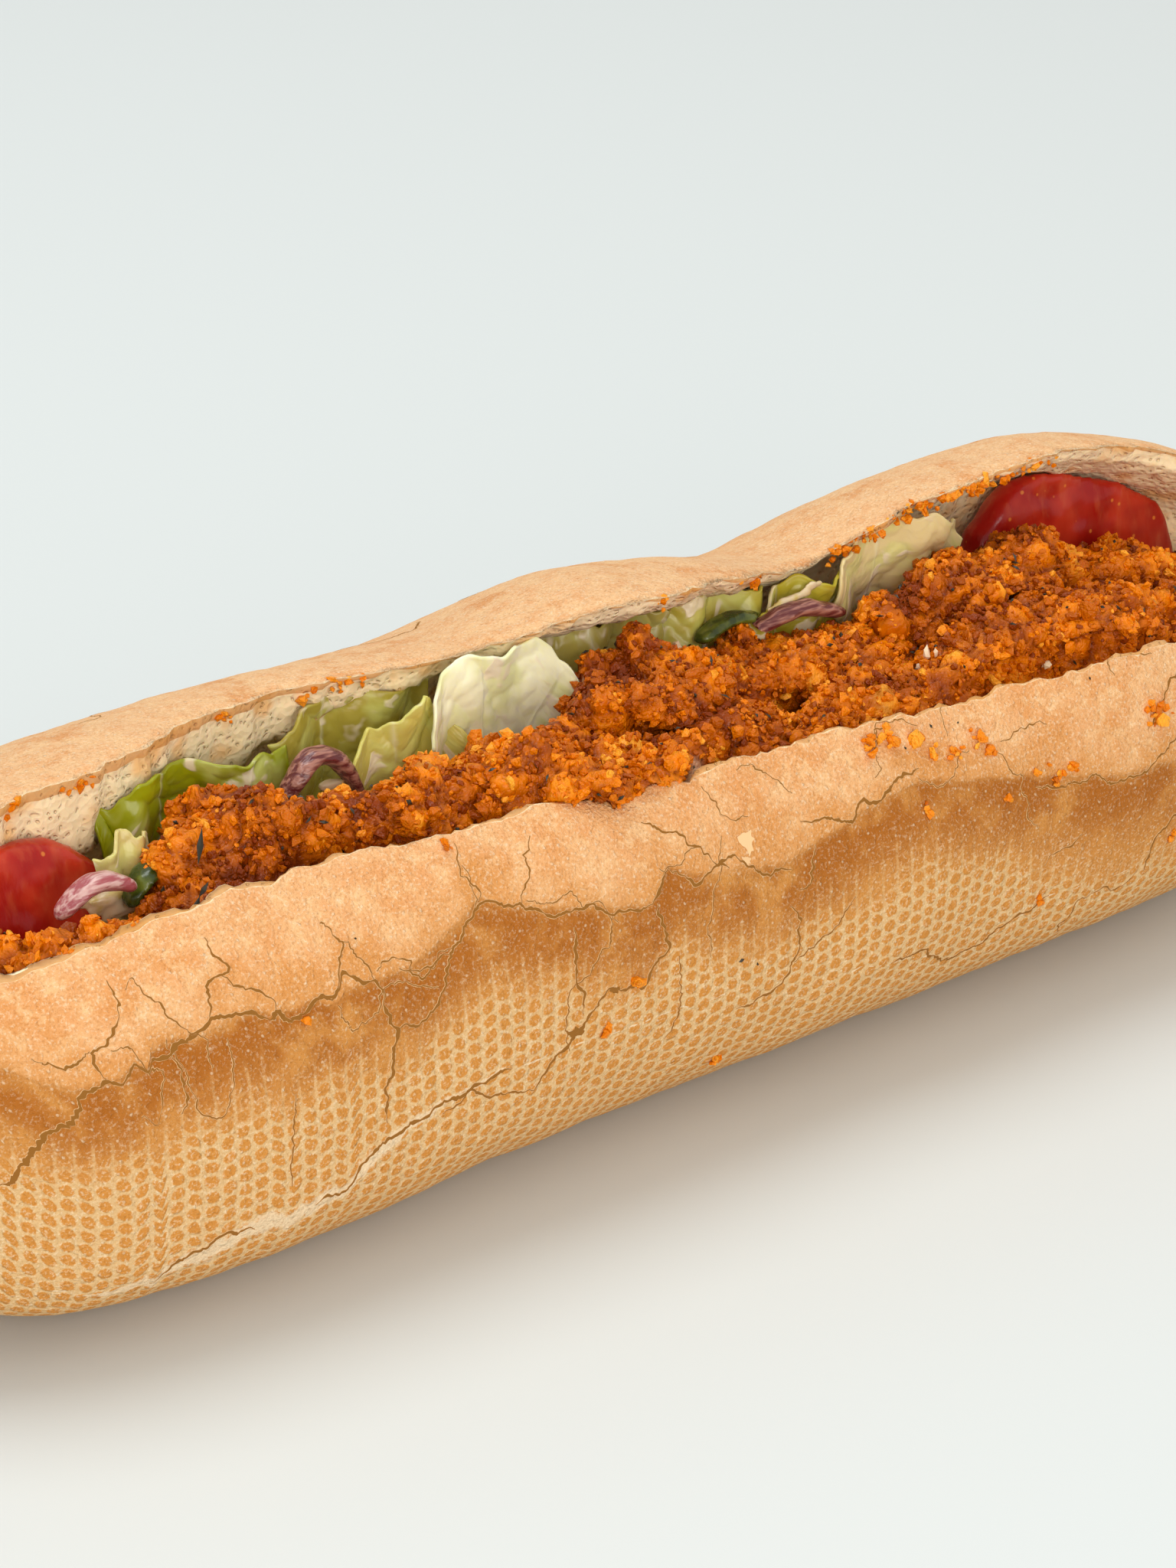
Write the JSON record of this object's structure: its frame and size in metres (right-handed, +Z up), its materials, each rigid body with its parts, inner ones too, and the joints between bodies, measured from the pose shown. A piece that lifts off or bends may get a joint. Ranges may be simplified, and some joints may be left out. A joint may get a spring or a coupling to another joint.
{
  "type": "chicken fillet roll",
  "caption": "Split baguette roll filled with breaded spicy chicken, lettuce, tomato, red onion and green pepper.",
  "frame": {"origin": "centre of the flat underside, on the table under the middle of the roll", "axes": "+X along the roll, -Y towards the open side that shows the filling, +Z up from the table"},
  "size_m": [0.285, 0.081, 0.0696],
  "materials": {
    "bread": "dry baked crust, pale with a browner band and a dimpled underside",
    "chicken": "coarse orange crumb coating, slightly oily",
    "lettuce": "thin translucent leaf, slightly wet",
    "tomato": "wet cut slice",
    "onion": "wet purple shreds",
    "pepper": "dark green, shiny"
  },
  "bodies": {
    "root": {"bread_roll": "bread", "chicken_1": "chicken", "chicken_2": "chicken", "chicken_3": "chicken", "chicken_4": "chicken", "chicken_5": "chicken", "chicken_6": "chicken", "chicken_7": "chicken", "chicken_8": "chicken", "chicken_9": "chicken", "lettuce_1": "lettuce", "lettuce_2": "lettuce", "lettuce_3": "lettuce", "lettuce_4": "lettuce", "lettuce_5": "lettuce", "lettuce_6": "lettuce", "lettuce_7": "lettuce", "lettuce_8": "lettuce", "lettuce_9": "lettuce", "onion_1": "onion", "onion_2": "onion", "onion_3": "onion", "pepper_1": "pepper", "pepper_2": "pepper", "tomato_1": "tomato", "tomato_2": "tomato", "tomato_3": "tomato"}
  },
  "joints": []
}
